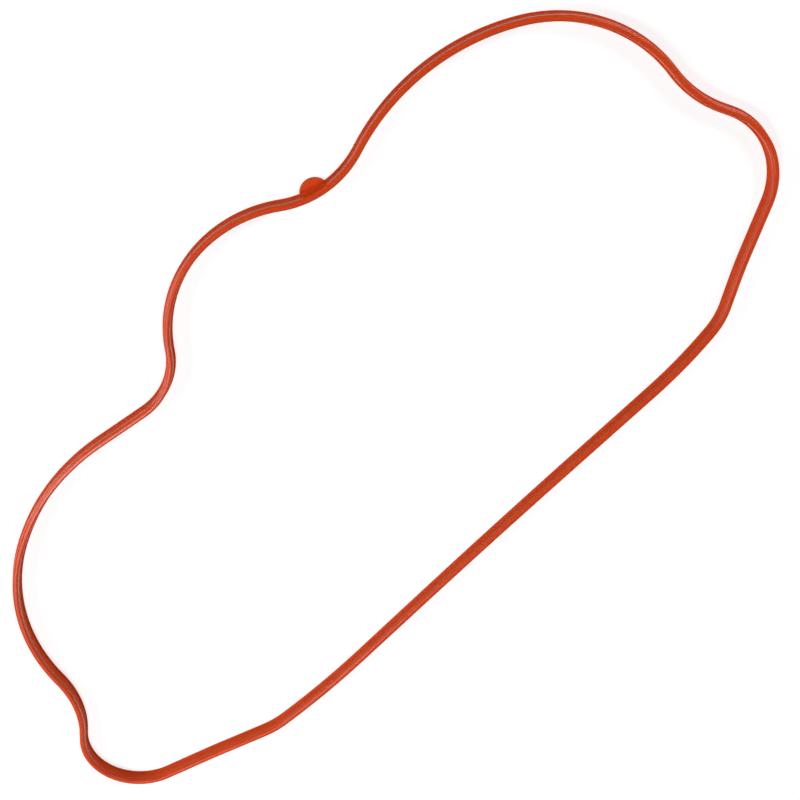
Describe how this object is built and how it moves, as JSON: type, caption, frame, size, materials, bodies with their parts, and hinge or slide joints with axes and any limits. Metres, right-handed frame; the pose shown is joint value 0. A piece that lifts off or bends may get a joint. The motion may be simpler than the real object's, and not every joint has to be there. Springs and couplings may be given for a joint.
{
  "type": "valve cover gasket",
  "caption": "Moulded orange-red rubber gasket in a lobed closed loop, with a tapered rib on a wider foot and a half-round tab.",
  "frame": {"origin": "middle of the loop's outline, at the underside of the foot", "axes": "+X along the long straight side, +Y towards the lobes, +Z from the foot up through the rib"},
  "size_m": [0.446, 0.2004, 0.0064],
  "materials": {
    "silicone_rubber": "orange-red moulded silicone rubber with a soft gloss"
  },
  "bodies": {
    "root": {"cover_gasket": "silicone_rubber"}
  },
  "joints": []
}
